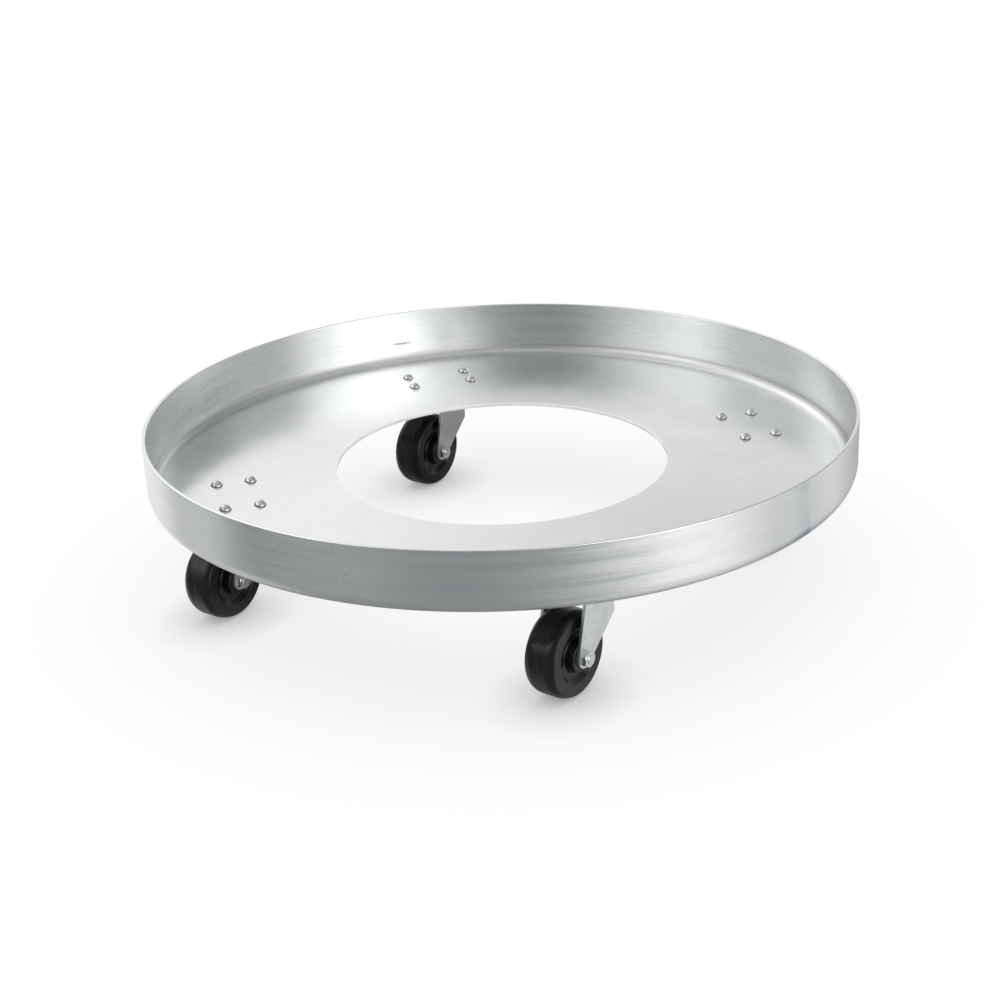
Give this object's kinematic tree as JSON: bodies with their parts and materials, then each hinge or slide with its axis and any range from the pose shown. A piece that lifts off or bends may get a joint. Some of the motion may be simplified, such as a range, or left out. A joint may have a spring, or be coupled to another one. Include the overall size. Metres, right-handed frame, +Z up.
{
  "type": "drum dolly",
  "caption": "Round drum dolly: a shallow formed aluminium pan with a large centre hole, riveted to swivel casters with hard rubber wheels.",
  "frame": {"origin": "on the ground, under the centre of the pan", "axes": "+Z up; the casters stand on the diagonals between +X and +Y, and their wheels trail towards -Y at rest"},
  "size_m": [0.636, 0.636, 0.155],
  "materials": {
    "pan": "satin mill finish with fine circumferential streaks",
    "rivet": "bright polished domes",
    "zinc_sheet": "bright zinc plate",
    "zinc_hardware": "bright zinc plate",
    "ball": "polished bearing steel",
    "sleeve": "ground steel",
    "hard_rubber": "glossy moulded hard rubber"
  },
  "bodies": {
    "deck": {"pan": "pan", "front_rivets": "rivet", "front_top_plate": "zinc_sheet", "front_king_pin": "zinc_hardware", "front_race_cup": "zinc_sheet", "right_rivets": "rivet", "right_top_plate": "zinc_sheet", "right_king_pin": "zinc_hardware", "right_race_cup": "zinc_sheet", "back_rivets": "rivet", "back_top_plate": "zinc_sheet", "back_king_pin": "zinc_hardware", "back_race_cup": "zinc_sheet", "left_rivets": "rivet", "left_top_plate": "zinc_sheet", "left_king_pin": "zinc_hardware", "left_race_cup": "zinc_sheet"},
    "front_swivel": {"front_upper_balls": "ball", "front_lower_balls": "ball", "front_fork": "zinc_sheet", "front_axle_bolt": "zinc_hardware", "front_axle_nut": "zinc_hardware", "front_axle_sleeve": "sleeve", "front_thrust_washers": "zinc_hardware"},
    "front_wheel_set": {"front_wheel": "hard_rubber", "front_rollers": "ball"},
    "right_swivel": {"right_upper_balls": "ball", "right_lower_balls": "ball", "right_fork": "zinc_sheet", "right_axle_bolt": "zinc_hardware", "right_axle_nut": "zinc_hardware", "right_axle_sleeve": "sleeve", "right_thrust_washers": "zinc_hardware"},
    "right_wheel_set": {"right_wheel": "hard_rubber", "right_rollers": "ball"},
    "back_swivel": {"back_upper_balls": "ball", "back_lower_balls": "ball", "back_fork": "zinc_sheet", "back_axle_bolt": "zinc_hardware", "back_axle_nut": "zinc_hardware", "back_axle_sleeve": "sleeve", "back_thrust_washers": "zinc_hardware"},
    "back_wheel_set": {"back_wheel": "hard_rubber", "back_rollers": "ball"},
    "left_swivel": {"left_upper_balls": "ball", "left_lower_balls": "ball", "left_fork": "zinc_sheet", "left_axle_bolt": "zinc_hardware", "left_axle_nut": "zinc_hardware", "left_axle_sleeve": "sleeve", "left_thrust_washers": "zinc_hardware"},
    "left_wheel_set": {"left_wheel": "hard_rubber", "left_rollers": "ball"}
  },
  "joints": [
    {"name": "front_swivel_turn", "type": "hinge", "parent": "deck", "child": "front_swivel", "pos_m": [0.17013, -0.17013, 0.094], "axis": [0, 0, 1], "continuous": true},
    {"name": "front_wheel_spin", "type": "hinge", "parent": "front_swivel", "child": "front_wheel_set", "pos_m": [0.16641, -0.19839, 0.0367], "axis": [0.9914, -0.1305, 0], "continuous": true},
    {"name": "right_swivel_turn", "type": "hinge", "parent": "deck", "child": "right_swivel", "pos_m": [0.17013, 0.17013, 0.094], "axis": [0, 0, 1], "continuous": true},
    {"name": "right_wheel_spin", "type": "hinge", "parent": "right_swivel", "child": "right_wheel_set", "pos_m": [0.1674, 0.14176, 0.0367], "axis": [0.9954, -0.0958, 0], "continuous": true},
    {"name": "back_swivel_turn", "type": "hinge", "parent": "deck", "child": "back_swivel", "pos_m": [-0.17013, 0.17013, 0.094], "axis": [0, 0, 1], "continuous": true},
    {"name": "back_wheel_spin", "type": "hinge", "parent": "back_swivel", "child": "back_wheel_set", "pos_m": [-0.17237, 0.14172, 0.0367], "axis": [0.9969, -0.0785, 0], "continuous": true},
    {"name": "left_swivel_turn", "type": "hinge", "parent": "deck", "child": "left_swivel", "pos_m": [-0.17013, -0.17013, 0.094], "axis": [0, 0, 1], "continuous": true},
    {"name": "left_wheel_spin", "type": "hinge", "parent": "left_swivel", "child": "left_wheel_set", "pos_m": [-0.17237, -0.19854, 0.0367], "axis": [0.9969, -0.0785, 0], "continuous": true}
  ]
}
